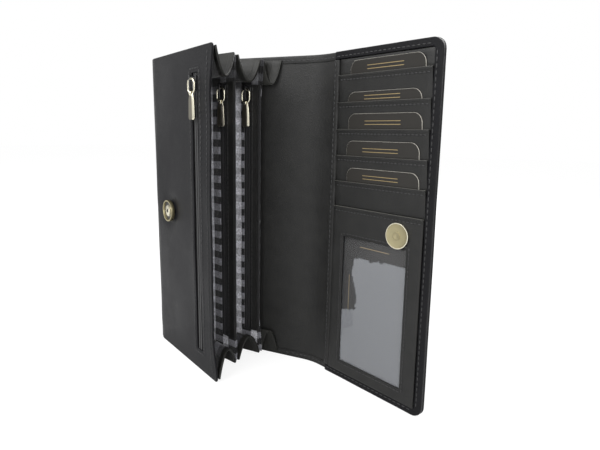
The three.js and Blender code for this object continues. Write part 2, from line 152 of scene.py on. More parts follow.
def gloss(tree, shader, source, low, high):
    shine = addNode(tree, "ShaderNodeMapRange", {"To Min": low, "To Max": high}, {"Value": source})
    tree.links.new(shine.outputs["Result"], shader.inputs["Roughness"])


# Smooth cowhide with a fine printed grain, dyed black: tight cells about 0.9 mm wide, a soft
# gloss, and a slow cockle where it has been handled.
def grainLeather(name, dark, light, roughness, grain=0.9, depth=0.05, cockle=0.25, sheen=0.3):
    material, tree, shader, place = startMaterial(name, {"IOR": 1.5, "Specular IOR Level": sheen})
    cells = addNode(tree, "ShaderNodeTexVoronoi", {
        "feature": "DISTANCE_TO_EDGE", "Scale": 1000 / grain, "Randomness": 1.0}, {"Vector": place})
    crease = addNode(tree, "ShaderNodeMapRange", {"From Max": 0.25}, {"Value": cells.outputs["Distance"]})
    pores = mottle(tree, place, 0.5, 3.0)
    height = addNode(tree, "ShaderNodeMath", {"operation": "MULTIPLY_ADD", 1: 0.35}, {
        0: pores.outputs["Fac"], 2: crease.outputs["Result"]})
    fine = addNode(tree, "ShaderNodeBump", {"Distance": depth / 1000, "Strength": 0.8}, {
        "Height": height.outputs["Value"]})
    slow = mottle(tree, place, 22, 2.0)
    waves = addNode(tree, "ShaderNodeBump", {"Distance": cockle / 1000, "Strength": 1.0}, {
        "Height": slow.outputs["Fac"], "Normal": fine.outputs["Normal"]})
    patch = mottle(tree, place, 9, 4.0)
    tone = addNode(tree, "ShaderNodeMix", {"data_type": "RGBA", 6: toLinear(dark), 7: toLinear(light)}, {
        0: patch.outputs["Fac"]})
    gloss(tree, shader, patch.outputs["Fac"], roughness - 0.07, roughness + 0.09)
    tree.links.new(tone.outputs[2], shader.inputs["Base Color"])
    tree.links.new(waves.outputs["Normal"], shader.inputs["Normal"])
    return material


# Woven cotton and boucle check: a broad black warp stripe, whose weft alternates black and grey
# every 4.45 mm, then a narrower stripe of light grey boucle that covers its weft.
weave = {
    "weft": 4.45, "blackWarp": 7.2, "lightWarp": 4.9, "soft": 0.15, "drift": 1.1, "loop": 0.7,
    # The last three keys set the painted shade at the cloth's upper end: where it starts, where it is full,
    # and how dark.
    "shadeLow": 171.0, "shadeHigh": 177.0, "shadeTone": 0.2,
}


# 0 below an edge and 1 above it, over the short stretch in which the yarns change.
def yarnEdge(tree, value, edge):
    return addNode(tree, "ShaderNodeMapRange", {
        "From Min": (edge - weave["soft"]) / 1000, "From Max": (edge + weave["soft"]) / 1000}, {
        "Value": value})


def checkCloth(name, leaf, edge, tones=("#141416", "#7c7c82", "#b9b9bf", "#dcdce2")):
    black, grey, shaded, light = (toLinear(tone) for tone in tones)
    material, tree, shader, place = startMaterial(name, {
        "Roughness": 0.9, "Specular IOR Level": 0.2, "Sheen Weight": 0.3, "Sheen Roughness": 0.5})
    x, y, angle = leaves[leaf]
    turned = addNode(tree, "ShaderNodeMapping", {
        "vector_type": "TEXTURE", "Location": (x / 1000, y / 1000, 0),
        "Rotation": (0, 0, math.radians(-angle))}, {"Vector": place})
    # The weave runs a little crooked, as cut cloth does.
    drift = mottle(tree, place, 18, 1.0)
    most = weave["drift"] / 1000
    shift = addNode(tree, "ShaderNodeVectorMath", {
        "operation": "MULTIPLY_ADD", 1: (most,) * 3, 2: (-most / 2,) * 3}, {0: drift.outputs["Color"]})
    moved = addNode(tree, "ShaderNodeVectorMath", {"operation": "ADD"}, {
        0: turned.outputs["Vector"], 1: shift.outputs["Vector"]})
    axes = addNode(tree, "ShaderNodeSeparateXYZ", links={"Vector": moved.outputs["Vector"]})
    period = (weave["blackWarp"] + weave["lightWarp"]) / 1000
    start = (edge - weave["blackWarp"]) / 1000
    across = addNode(tree, "ShaderNodeMath", {"operation": "SUBTRACT", 1: start}, {0: axes.outputs["X"]})
    inWarp = addNode(tree, "ShaderNodeMath", {"operation": "FLOORED_MODULO", 1: period}, {
        0: across.outputs["Value"]})
    warp = yarnEdge(tree, inWarp.outputs["Value"], weave["blackWarp"])
    inWeft = addNode(tree, "ShaderNodeMath", {"operation": "PINGPONG", 1: weave["weft"] / 1000}, {
        0: axes.outputs["Z"]})
    weft = yarnEdge(tree, inWeft.outputs["Value"], weave["weft"] / 2)
    dark, pale = (addNode(tree, "ShaderNodeMix", {"data_type": "RGBA", 6: low, 7: high}, {
        0: weft.outputs["Result"]}) for low, high in ((black, grey), (shaded, light)))
    tone = addNode(tree, "ShaderNodeMix", {"data_type": "RGBA"}, {
        0: warp.outputs["Result"], 6: dark.outputs[2], 7: pale.outputs[2]})
    loops = addNode(tree, "ShaderNodeTexVoronoi", {"Scale": 1000 / weave["loop"], "Randomness": 0.7}, {
        "Vector": turned.outputs["Vector"]})
    fuzz = mottle(tree, place, 1.1, 4.0)
    dim = addNode(tree, "ShaderNodeMapRange", {
        "From Min": 0.3, "From Max": 0.7, "To Min": 0.55, "To Max": 1.3}, {"Value": fuzz.outputs["Fac"]})
    # Painted shade: the cloth darkens towards its upper end, down to a fifth of its tone.
    topShade = addNode(tree, "ShaderNodeMapRange", {
        "From Min": weave["shadeLow"] / 1000, "From Max": weave["shadeHigh"] / 1000, "To Min": 1.0,
        "To Max": weave["shadeTone"]}, {"Value": axes.outputs["Z"]})
    fuzzAndTopShade = addNode(tree, "ShaderNodeMath", {"operation": "MULTIPLY"}, {
        0: dim.outputs["Result"], 1: topShade.outputs["Result"]})
    colour = addNode(tree, "ShaderNodeVectorMath", {"operation": "SCALE"}, {
        0: tone.outputs[2], "Scale": fuzzAndTopShade.outputs["Value"]})
    lift = addNode(tree, "ShaderNodeMath", {"operation": "SUBTRACT", 0: 1.0}, {1: loops.outputs["Distance"]})
    relief(tree, shader, lift.outputs["Value"], 0.25, 0.9)
    tree.links.new(colour.outputs["Vector"], shader.inputs["Base Color"])
    return material


# Zinc alloy, polished and plated pale gold: warm, bright, with faint tumbling marks.
def platedZinc(name, colour, roughness):
    material, tree, shader, place = startMaterial(name, {"Base Color": toLinear(colour), "Metallic": 1.0})
    marks = mottle(tree, place, 1.2, 5.0).outputs["Fac"]
    gloss(tree, shader, marks, roughness - 0.06, roughness + 0.1)
    relief(tree, shader, marks, 0.02, 0.5)
    return material


# Woven polyester zip tape, black: 0.6 mm herringbone ribs with little shine.
def wovenTape(name, colour):
    material, tree, shader, place = startMaterial(name, {
        "Base Color": toLinear(colour), "Roughness": 0.75, "Sheen Weight": 0.2})
    relief(tree, shader, ribbed(tree, place, "Z", 0.6, 1.5).outputs["Fac"], 0.1, 0.8)
    return material


# Waxed polyester thread, black: a tight twist that catches a small highlight.
def waxedThread(name, colour):
    material, tree, shader, place = startMaterial(name, {"Base Color": toLinear(colour), "Roughness": 0.5})
    relief(tree, shader, ribbed(tree, place, "DIAGONAL", 0.5).outputs["Fac"], 0.06, 0.7)
    return material


# Smooth moulded or coated sheet: plain colour with a faint uneven gloss.
def coated(name, colour, roughness, extra=None, wave=6.0, depth=0.02):
    material, tree, shader, place = startMaterial(name, {"Base Color": toLinear(colour), **(extra or {})})
    patches = mottle(tree, place, wave, 3.0).outputs["Fac"]
    gloss(tree, shader, patches, roughness - 0.05, roughness + 0.06)
    relief(tree, shader, patches, depth)
    return material


outerLeather = grainLeather("cowhide_black_printed", "#111113", "#1a1a1c", 0.38, sheen=0.1)
innerLeather = grainLeather("cowhide_black_inner", "#1a1a1a", "#272726", 0.4, 0.8, cockle=0.22, sheen=0.25)
gussetLeather = grainLeather("cowhide_black_gusset", "#1b1b1a", "#2b2b28", 0.42, 0.8, sheen=0.25)
cloths = {leaf: checkCloth(f"boucle_check_{leaf}", leaf, edge) for leaf, edge in (
    ("front", 76.0), ("dividerOne", 59.0), ("dividerTwo", 69.4))}
gussetCloth = checkCloth(
    "boucle_check_gusset", "dividerTwo", 70.0, ("#1b1b1d", "#3c3c40", "#55555a", "#66666c"))
# Pale grey painted highlight along the slots' top edges.
weltHighlight = coated("leather_welt_painted_highlight", "#66655f", 0.35, wave=3.0)
brightMetal = platedZinc("plated_zinc_pale_gold", "#d6d1bd", 0.22)
# A darker, rougher copy of the plating: painted shade for the pull tab's broad facet.
shadedFacetMetal = platedZinc("plated_zinc_painted_shade", "#79756a", 0.45)
discMetal = platedZinc("plated_zinc_satin_gold", "#9f9778", 0.36)
# Near black painted shade for the zip sliders, which sit hidden in shadow.
sliderShade = coated("zinc_slider_painted_shade", "#1a1a1b", 0.3, wave=2.0)
tapeBlack = wovenTape("polyester_tape_black", "#101012")
teethBlack = coated("nylon_coil_black", "#17171a", 0.3, wave=1.0)
threadBlack = waxedThread("polyester_thread_black", "#222223")
# Near black painted shade for the snap socket's sunken well and centre hole.
recessShade = coated("snap_recess_painted_shade", "#1d1c1a", 0.4, wave=1.0)
cardFace = coated("coated_card_black", "#24221f", 0.4, {"Specular IOR Level": 0.3}, wave=12.0, depth=0.01)
cardCore = coated("card_core_pale", "#c4c0b6", 0.6, wave=2.0)
goldFoil = coated("stamped_gold_foil", "#a9966f", 0.42, {"Metallic": 1.0}, wave=0.8)


# Soft clear vinyl: glossy, with a painted grey reflection laid over it where a per-point mask is high.
def vinylFilm(name, colour, alpha):
    material, tree, shader, place = startMaterial(name, {
        "Base Color": toLinear(colour), "IOR": 1.53, "Roughness": 0.08})
    reflectionPatch = addNode(tree, "ShaderNodeAttribute", {"attribute_name": "reflectionPatch"})
    share = addNode(tree, "ShaderNodeMath", {"operation": "MULTIPLY", 1: alpha}, {0: reflectionPatch.outputs["Fac"]})
    relief(tree, shader, mottle(tree, place, 16, 1.0).outputs["Fac"], 0.3)
    tree.links.new(share.outputs["Value"], shader.inputs["Alpha"])
    return material


# Its grey is a painted reflection of grey surroundings.
clearFilm = vinylFilm("soft_vinyl_film", "#84868a", 0.6)
print("materials made")


# ---- modelling helpers
def primitive(kind, **settings):
    bpy.ops.object.select_all(action="DESELECT")
    getattr(bpy.ops.mesh, f"primitive_{kind}_add")(**settings)
    obj = bpy.context.active_object
    bpy.ops.object.transform_apply(location=True, rotation=True, scale=True)
    return obj


def onlySelect(obj):
    bpy.ops.object.select_all(action="DESELECT")
    obj.select_set(True)
    bpy.context.view_layer.objects.active = obj


def applied(obj, kind, **settings):
    onlySelect(obj)
    modifier = obj.modifiers.new(kind.lower(), kind)
    for key, value in settings.items():
        setattr(modifier, key, value)
    bpy.ops.object.modifier_apply(modifier=modifier.name)
    return obj


def repeated(obj, count, step):
    return applied(obj, "ARRAY", count=count, use_relative_offset=False, use_constant_offset=True,
                   constant_offset_displace=step)


def rounded(obj, width, segments=2, angle=35):
    applied(obj, "BEVEL", width=width, segments=segments, limit_method="ANGLE",
            angle_limit=math.radians(angle), use_clamp_overlap=True)
    onlySelect(obj)
    bpy.ops.object.shade_smooth_by_angle(angle=math.radians(40))
    return obj


def paint(obj, *materials):
    obj.data.materials.clear()
    for material in materials:
        obj.data.materials.append(material)
    return obj


# Its faces take the first or a later material, as "choose" says.
def paintBy(obj, materials, choose):
    paint(obj, *materials)
    for face in obj.data.polygons:
        face.material_index = int(choose(face))
    return obj


def box(name, low, high):
    centre = [(a + b) / 2 for a, b in zip(low, high)]
    size = [b - a for a, b in zip(low, high)]
    obj = primitive("cube", size=1, location=centre, scale=size)
    obj.name = name
    return obj


def pickFaces(obj, test):
    onlySelect(obj)
    bpy.ops.object.mode_set(mode="EDIT")
    bpy.ops.mesh.select_mode(type="FACE")
    bpy.ops.mesh.select_all(action="DESELECT")
    mesh = bmesh.from_edit_mesh(obj.data)
    for face in mesh.faces:
        if test(face.calc_center_median(), face.normal):
            face.select_set(True)
    bmesh.update_edit_mesh(obj.data)


def objectMode():
    bpy.ops.object.mode_set(mode="OBJECT")


def pushFaces(obj, test, vector):
    pickFaces(obj, test)
    bpy.ops.mesh.extrude_region_move(TRANSFORM_OT_translate={"value": vector})
    objectMode()
    return obj


def bisect(obj, point, normal, **options):
    onlySelect(obj)
    bpy.ops.object.mode_set(mode="EDIT")
    bpy.ops.mesh.select_all(action="SELECT")
    bpy.ops.mesh.bisect(plane_co=point, plane_no=normal, **options)
    objectMode()
    return obj


def shaped(obj, move):
    for vertex in obj.data.vertices:
        vertex.co = move(vertex.co)
    obj.data.update()
    return obj


def cuts(start, end, step, *extra):
    count = max(1, round((end - start) / step))
    values = [start + (end - start) * i / count for i in range(count + 1)]
    kept = [v for v in values if all(abs(v - e) > 0.35 * step for e in extra)]
    return sorted({start, end, *kept, *extra})


# Stretches that follow each other, each with its own end and step.
def runs(start, *stretches):
    values = [start]
    for end, step in stretches:
        values += cuts(start, end, step)[1:]
        start = end
    return values


# A sheet of leather or cloth on the x-z plane, facing -y, from a grid whose lines fall where asked.
def sheetPiece(name, xs, zs, y, thickness, hole=None, corners=(), wave=None):
    obj = primitive("grid", x_subdivisions=len(xs) - 1, y_subdivisions=len(zs) - 1, size=2)
    obj.name = name
    columns = sorted({round(v.co.x, 4) for v in obj.data.vertices})
    rows = sorted({round(v.co.y, 4) for v in obj.data.vertices})
    column = {value: xs[i] for i, value in enumerate(columns)}
    row = {value: zs[i] for i, value in enumerate(rows)}
    shaped(obj, lambda co: Vector((column[round(co.x, 4)], y, row[round(co.y, 4)])))
    if hole:
        x0, z0, x1, z1 = hole
        pickFaces(obj, lambda c, n: x0 < c.x < x1 and z0 < c.z < z1)
        bpy.ops.mesh.delete(type="FACE")
        objectMode()
    for cx, cz, sx, sz in corners:
        def roundOff(co, cx=cx, cz=cz, sx=sx, sz=sz):
            dx, dz = (co.x - cx) * sx, (co.z - cz) * sz
            if dx <= 0 or dz <= 0:
                return co
            scale = max(dx, dz) / math.hypot(dx, dz)
            return Vector((cx + (co.x - cx) * scale, co.y, cz + (co.z - cz) * scale))
        shaped(obj, roundOff)
    if wave:
        shaped(obj, lambda co: co + Vector((0, wave(co.x, co.z), 0)))
    applied(obj, "SOLIDIFY", thickness=thickness, offset=-1)
    return obj


def merged(target, *others):
    bpy.ops.object.select_all(action="DESELECT")
    for obj in (target, *others):
        obj.select_set(True)
    bpy.context.view_layer.objects.active = target
    bpy.ops.object.join()
    return target


def settle(obj, matrix):
    onlySelect(obj)
    obj.data.transform(matrix)
    obj.data.update()
    return obj


# One row of stitches on a surface that faces -y at height y, from one (x, z) to another.
sewing = {"pitch": 3.0, "finePitch": 2.4, "length": 0.8, "width": 0.75, "height": 0.6}


def stitchRow(y, start, end, pitch=sewing["pitch"]):
    start, end, up = Vector((start[0], y, start[1])), Vector((end[0], y, end[1])), Vector((0, -1, 0))
    along = (end - start).normalized()
    count = max(1, int((end - start).length / pitch))
    row = primitive("uv_sphere", segments=6, ring_count=5, radius=1, rotation=(0, math.pi / 2, 0))
    half = (sewing["length"] * pitch / 2, sewing["width"] / 2, sewing["height"] / 2)
    shaped(row, lambda co: Vector((co.x * half[0], co.y * half[1], co.z * half[2])))
    bpy.ops.object.shade_smooth()
    repeated(row, count, (pitch, 0, 0))
    side = up.cross(along)
    turn = Matrix((along, side, up)).transposed().to_4x4()
    slack = ((end - start).length - (count - 1) * pitch) / 2
    row.data.transform(Matrix.Translation(start + along * slack) @ turn)
    return paint(row, threadBlack)


def ripple(x, z, size, scale, seed=0.0):
    return size * noise.noise(Vector((x / scale + seed, 3.7, z / scale)))


def mount(obj, matrix, body, slot, *nodes):
    settle(obj, matrix)
    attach(obj, body)
    if nodes:
        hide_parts(*nodes)


def finish(obj, leaf, body, *nodes, slot="leather_black"):
    if leaf == "flap" and slot != "metal_pale_gold":  # the snap keeps its place
        shaped(obj, flapLean)
    mount(obj, leafMatrix(leaf), body, slot, *nodes)


# ---- cover: back, closed edge and first half of the spine
cover = {
    "hemWidth": 4.5, "hemRise": 0.45, "hemInset": 0.25, "edge": 0.45, "wallEnd": -11.6, "cell": 3.0,
    "foldSoft": 7.0, "sew": 2.9, "foldLines": (80.5, 82.0, 83.5, 85.0, 86.5), "overlap": 2.0,
}


def coverWave(x, z):
    return ripple(x, z, 0.25, 34.0, 1.3)


# Turned and stitched along both ends, painted, and cut at the seam. "keep" says which side of it stays.
def finishCover(sheet, xs, sewEnds, keep):
    inner, top, width, inset = wallet["backInner"], wallet["height"], cover["hemWidth"], cover["hemInset"]
    paintBy(sheet, (outerLeather, innerLeather), lambda face: face.normal.y < -0.9)
    hems = []
    for z0, z1 in ((inset, width), (top - width, top - inset)):
        hem = sheetPiece("hem", xs, cuts(z0, z1, 1.2), inner - cover["hemRise"], cover["hemRise"] + 0.3,
                         wave=coverWave)
        hems.append(paint(rounded(hem, 0.3, 2), innerLeather))
    for piece in (sheet, *hems):
        bisect(piece, (wallet["seam"], 0, 0), (1, 0, 0), **{keep: True})
    y = inner - cover["hemRise"] - 0.02
    rows = [stitchRow(y, (sewEnds[0], z), (sewEnds[1], z)) for z in (cover["sew"], top - cover["sew"])]
    return merged(sheet, *hems, *rows)


def makeBackCover():
    inner, top = wallet["backInner"], wallet["height"]
    end, strip = wallet["seam"] + cover["overlap"], 0.6
    xs = cuts(-strip, end, cover["cell"], strip, *cover["foldLines"])
    sheet = sheetPiece("back_cover", xs, cuts(0, top, cover["cell"]), inner, wallet["shell"], wave=coverWave)
    # The closed edge grows from the strip at the near end, as one turn of leather.
    pushFaces(sheet, lambda c, n: c.x < strip and n.y < -0.7, (0, cover["wallEnd"] - inner, 0))
    rounded(sheet, cover["edge"], 3)
    finishCover(sheet, cuts(6, end, cover["cell"]), (7, wallet["seam"]), "clear_outer")
    settle(sheet, leafMatrix("back"))
    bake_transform(sheet)
    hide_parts("back_leather", "back_lining")


# The second half bends softly at the fold beside the flap: a point keeps its distance from the inner face.
def bendAtFold(co):
    fold = Vector((wallet["foldTwo"], wallet["backInner"]))
    angle = math.radians(leaves["flap"][2])
    along = Vector((math.cos(angle), -math.sin(angle)))
    across = Vector((math.sin(angle), math.cos(angle)))
    soft = cover["foldSoft"]
    s = co.x - fold.x
    lift = co.y - fold.y
    if s <= -soft:
        return co
    if s >= soft:
        spot = fold + along * s + across * lift
        return Vector((spot.x, spot.y, co.z))
    t = (s + soft) / (2 * soft)
    ends = (fold + Vector((-soft, 0)), fold, fold + along * soft)
    spot = ends[0] * (1 - t) ** 2 + ends[1] * 2 * t * (1 - t) + ends[2] * t ** 2
    slope = ((ends[1] - ends[0]) * (1 - t) + (ends[2] - ends[1]) * t).normalized()
    spot = spot + Vector((-slope.y, slope.x)) * lift
    return Vector((spot.x, spot.y, co.z))


flapSize = {
    "length": 84.0, "hem": 4.5, "rise": 2.2, "corner": 6.0, "bandStart": 12.8, "bandWidth": 4.2,
    "drawIn": 4.0, "drawStart": 8.0, "edgeThin": 1.1, "sew": 3.0, "fine": 0.75, "cell": 3.0,
}


# The flap's free edge leans in a little towards its top corner, and the fold stays upright.
def flapLean(co):
    share = max(0.0, co.x - flapSize["drawStart"]) / (flapSize["length"] - flapSize["drawStart"])
    return co - Vector((flapSize["drawIn"] * share * co.z / wallet["height"], 0, 0))


def makeFlapCover():
    inner, top = wallet["backInner"], wallet["height"]
    end = wallet["foldTwo"] + flapSize["length"]
    r = flapSize["corner"]
    start, step, fine = wallet["seam"] - cover["overlap"], 2.5, 0.9
    xs = runs(start, (end - r, step), (end, fine))
    zs = runs(0, (r, fine), (top - r, cover["cell"]), (top, fine))
    sheet = sheetPiece("flap_cover", xs, zs, inner, wallet["shell"], wave=coverWave,
                       corners=[(end - r, top - r, 1, 1), (end - r, r, 1, -1)])

    def thinned(co):
        near = min(max((co.x - end + r) / r, 0), 1)
        return co - Vector((0, flapSize["edgeThin"] * near * near if co.y > inner + 0.5 else 0, 0))
    shaped(sheet, thinned)
    rounded(sheet, cover["edge"], 3)
    bandX = wallet["foldTwo"] + flapSize["bandStart"]
    finishCover(sheet, cuts(start, bandX + 1, step), (wallet["seam"], bandX - 1), "clear_inner")
    origin = Vector((wallet["foldTwo"], 0, 0))
    shaped(sheet, lambda co: bendAtFold(flapLean(co - origin) + origin))
    settle(sheet, leafMatrix("back"))
    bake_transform(sheet)
    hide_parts("spine_leather", "spine_lining", "flap_leather", "flap_lining")


makeBackCover()
makeFlapCover()
print("cover made")


# ---- flap: turned edge, stitched band, card slots
def makeFlapBinding():
    top, r, hem = wallet["height"], flapSize["corner"], flapSize["hem"]
    start, end = flapSize["bandStart"] + 0.4, flapSize["length"] - 0.1
    inside, fine, cell, inset = end - hem, flapSize["fine"], flapSize["cell"], 0.15
    xs = runs(start, (end - r, cell), (inside, fine), (end, fine))
    zs = runs(inset, (hem, fine), (r, fine), (top - r, cell), (top - hem, fine), (top - inset, fine))
    rim = sheetPiece("flap_binding", xs, zs, -flapSize["rise"], flapSize["rise"] + 0.2,
                     hole=(start - 1, hem, inside, top - hem),
                     corners=[(end - r, top - r, 1, 1), (end - r, r, 1, -1)],
                     wave=lambda x, z: ripple(x, z, 0.2, 14.0, 5.0))
    rounded(rim, 0.75, 4)
    paint(rim, outerLeather)
    y, sew = -flapSize["rise"] - 0.05, flapSize["sew"]
    merged(rim, *(stitchRow(y, a, b) for a, b in (
        ((start + 1, sew), (end - r, sew)),
        ((start + 1, top - sew), (end - r, top - sew)),
        ((end - sew, r), (end - sew, top - r)))))
    finish(rim, "flap", "flap")


def makeFoldBand():
    low, high = flapSize["hem"] + 0.2, wallet["height"] - flapSize["hem"] - 0.2
    x0, x1 = flapSize["bandStart"], flapSize["bandStart"] + flapSize["bandWidth"]
    band = sheetPiece("fold_band", cuts(x0, x1, 1.05), cuts(low, high, 3.0), -2.85, 2.6,
                      wave=lambda x, z: ripple(x, z, 0.15, 12.0, 8.0))
    rounded(band, 0.8, 4)
    paint(band, innerLeather)
    merged(band, stitchRow(-2.9, (x0 + 1.5, low + 1), (x0 + 1.5, high - 1)))
    finish(band, "flap", "flap", "flap_fold_band", slot="leather_inner")


cardWall = {
    "topSlot": 181.6, "pitch": 14.7, "count": 5, "front": -3.0, "slope": 1.5 / 14.7, "thick": 0.7,
    "left": 17.2, "right": 79.3, "tuck": 2.0, "sew": 2.6, "headTop": 190.3, "headFront": -1.5,
    "welt": 1.2, "weltRise": 0.16, "highlightDepth": 0.2, "cell": 2.6, "fine": 0.4,
}


def slotHeight(n):
    return cardWall["topSlot"] - n * cardWall["pitch"]


# A slot's turned top edge stands a little proud, as a narrow welt, and its cut edge carries a pale grey
# painted highlight.
def weltPanel(panel, edge, soft):
    pushFaces(panel, lambda c, n: c.z > edge - cardWall["welt"] and n.y < -0.7, (0, -cardWall["weltRise"], 0))
    rounded(panel, soft, 2)
    # Painted highlight: faces within the top 0.2 mm take the pale grey.
    return paintBy(panel, (innerLeather, weltHighlight), lambda face: face.center.z > edge - cardWall["highlightDepth"])


def slotStitches(edge, y):
    z = edge - cardWall["sew"]
    return stitchRow(y, (cardWall["left"] + 1, z), (cardWall["right"] - 1, z), sewing["finePitch"])


def leaned(edge):
    return lambda co: co + Vector((0, (edge - co.z) * cardWall["slope"], 0))


def makeCardSlots():
    wall = cardWall
    for n in range(wall["count"]):
        edge, foot = slotHeight(n), slotHeight(n + 1) - wall["tuck"]
        xs = cuts(wall["left"], wall["right"], 4.0)
        zs = runs(foot, (edge - wall["welt"], wall["cell"]), (edge, wall["fine"]))

        def sag(x, z, edge=edge, n=n):
            middle = math.sin(math.pi * (x - wall["left"]) / (wall["right"] - wall["left"]))
            near = math.exp(-((edge - z) / 5) ** 2)
            return -0.12 * middle * near + ripple(x, z, 0.08, 11.0, n * 7.0)
        strip = sheetPiece(f"card_slot_panel_{n + 1}", xs, zs, wall["front"], wall["thick"], wave=sag)
        merged(weltPanel(strip, edge, 0.14), slotStitches(edge, wall["front"] - 0.05))
        shaped(strip, leaned(edge))
        finish(strip, "flap", "flap", f"card_slot_{n + 1}", slot="leather_inner")
    head = sheetPiece("card_head_panel", cuts(wall["left"], wall["right"], 4.0),
                      cuts(wall["topSlot"], wall["headTop"], 2.0), wall["headFront"], wall["thick"],
                      wave=lambda x, z: ripple(x, z, 0.12, 9.0, 2.0))
    rounded(head, 0.15, 2)
    paint(head, innerLeather)
    finish(head, "flap", "flap", "card_panel_head", slot="leather_inner")


cards = {
    "left": 25.4, "width": 49.0, "foot": 13.0, "radius": 5.0, "thick": 0.5, "ruleHalf": 0.16, "ruleGap": 0.9,
    "ruleEnds": (12, 36), "rises": (7.1, 5.2, 8.3, 8.3, 8.0), "shift": (0.6, -0.8, 0.4, -0.3, 0.5),
}


def makeCards():
    y = cardWall["front"] + cardWall["thick"] + 0.15
    for n in range(cardWall["count"]):
        edge = slotHeight(n)
        x0 = cards["left"] + cards["shift"][n]
        top = edge + cards["rises"][n]
        r = cards["radius"]
        x1 = x0 + cards["width"]
        xs = runs(x0, (x0 + r, 0.5), (x1 - r, 8.0), (x1, 0.5))
        zs = runs(edge - cards["foot"], (top - r, 4.0), (top, 0.5))
        card = sheetPiece(f"dummy_card_{n + 1}", xs, zs, y, cards["thick"],
                          corners=[(x0 + r, top - r, -1, 1), (x1 - r, top - r, 1, 1)])
        rounded(card, 0.08, 2)
        paintBy(card, (cardFace, cardCore), lambda face: abs(face.normal.y) <= 0.95)
        # Two plain stamped rules stand where the maker's words would be.
        middle = edge + cards["rises"][n] * 0.42
        half, gap, (left, right) = cards["ruleHalf"], cards["ruleGap"], cards["ruleEnds"]
        rules = [box("rule", (x0 + left, y - 0.04, z - half), (x0 + right, y + 0.1, z + half))
                 for z in (middle - gap, middle + gap)]
        merged(card, *(paint(rule, goldFoil) for rule in rules))
        shaped(card, leaned(edge))
        finish(card, "flap", "flap", f"card_{n + 1}", slot="card_black")


makeFlapBinding()
makeFoldBand()
makeCardSlots()
makeCards()
print("flap made")

# ---- window pocket
window = {
    "left": 25.7, "width": 44.4, "low": 12.3, "high": 90.8, "frame": 0.9, "lowEdge": 4.7, "sew": 1.6,
    "filmLap": 2.4, "cardLap": 2.0, "ruleInset": 4.5, "rule": 0.36, "clearTone": 0.12,
}


def makeWindow():
    x0, x1 = window["left"], window["left"] + window["width"]
    top = slotHeight(cardWall["count"])
    z0, z1 = window["low"], window["high"]
    front = cardWall["front"]
    xs = runs(cardWall["left"], (x0, 2.0), (x1, 4.0), (cardWall["right"], 2.0))
    zs = runs(window["lowEdge"], (z0, 2.0), (z1, 4.0), (top - cardWall["welt"], cardWall["cell"]),
              (top, cardWall["fine"]))
    plate = sheetPiece("window_panel", xs, zs, front, window["frame"], hole=(x0, z0, x1, z1),
                       wave=lambda x, z: ripple(x, z, 0.12, 15.0, 4.0))
    weltPanel(plate, top, 0.16)
    y, gap = front - 0.06, window["sew"]
    left, right, low, high = x0 - gap, x1 + gap, z0 - gap, z1 + gap
    rows = [stitchRow(y, a, b, sewing["finePitch"]) for a, b in (
        ((left, low), (left, high)), ((right, low), (right, high)),
        ((left, low), (right, low)), ((left, high), (right, high)))]
    merged(plate, *rows, slotStitches(top, y))
    finish(plate, "flap", "flap", "window_frame", slot="leather_inner")

    y, lap = front + window["frame"] + 0.15, window["filmLap"]
    film = sheetPiece("window_film_sheet", cuts(x0 - lap, x1 + lap, 1.0), cuts(z0 - lap, z1 + lap, 1.0),
                      y, 0.25, wave=lambda x, z: ripple(x, z, 0.22, 19.0, 6.0) - 0.1)
    rounded(film, 0.05, 1)
    # Painted reflection: a per-point mask shows the film's grey over a curved patch and leaves the rest
    # nearly clear.
    reflectionPatch = film.data.attributes.new("reflectionPatch", "FLOAT", "POINT")
    for vertex, value in zip(film.data.vertices, reflectionPatch.data):
        x, z = vertex.co.x, vertex.co.z
        rise = 3.5 * (x - x0 - 14) / 30 * (1 if x < x0 + 26 else 0.2)
        above = z1 - 11 + rise + ripple(x, z, 2.5, 12.0, 3.0)
        beside = x0 + 9 + 2.2 * math.sin(z / 6.5) + ripple(x, z, 1.5, 6.0, 9.0)
        clearPart = z > above or (x < beside and z > 45 + 0.3 * (x - x0))
        value.value = window["clearTone"] if clearPart else 1.0
    paint(film, clearFilm)
    finish(film, "flap", "flap", "window_film", slot="clear_film")

    y, lap = y + 0.45, window["cardLap"]
    card = box("window_dummy_card", (x0 - lap, y, z0 - lap), (x1 + lap, y + 0.5, z1 + lap))
    paint(rounded(card, 0.1, 2), cardFace)
    # Plain stamped rules along its four sides, and no wording.
    inset, rule = window["ruleInset"], window["rule"]
    lines = [box("line", (a[0], y - 0.04, a[1]), (b[0], y + 0.1, b[1])) for a, b in (
        ((x0 + 12, z0 + inset), (x1 - 12, z0 + inset + rule)),
        ((x0 + 12, z1 - inset - rule), (x1 - 12, z1 - inset)),
        ((x0 + inset, 40), (x0 + inset + rule, 68)),
        ((x1 - inset - rule, 34), (x1 - inset, 62)))]
    merged(card, *(paint(line, goldFoil) for line in lines))
    finish(card, "flap", "flap", "window_card", slot="card_black")


makeWindow()
print("window made")


# ---- snap
# Each half is a round blank whose near face is worked in rings: (inset, push) pairs, push towards -y
# when negative.
snap = {
    "radius": 7.0, "z": 97.5, "socketX": 22.6, "studX": 62.8, "socketDepth": 2.1, "discDepth": 1.2,
    "socket": [(0.55, 0), (0.35, 1.0), (2.4, 0), (0.25, -0.55), (0.6, -0.15), (0.9, -0.06), (0.7, 0),
               (0.15, 0.4)],
    "stud": [(0.45, 0), (0.15, 0.2), (3.9, 0), (0.3, -0.45), (0.5, 0), (0.2, 0.2)],
    "rim": 6.0, "wellShadeReach": 3.6, "wellShadeY": -1.8, "holeShadeReach": 1.3, "studRim": 6.5,
}


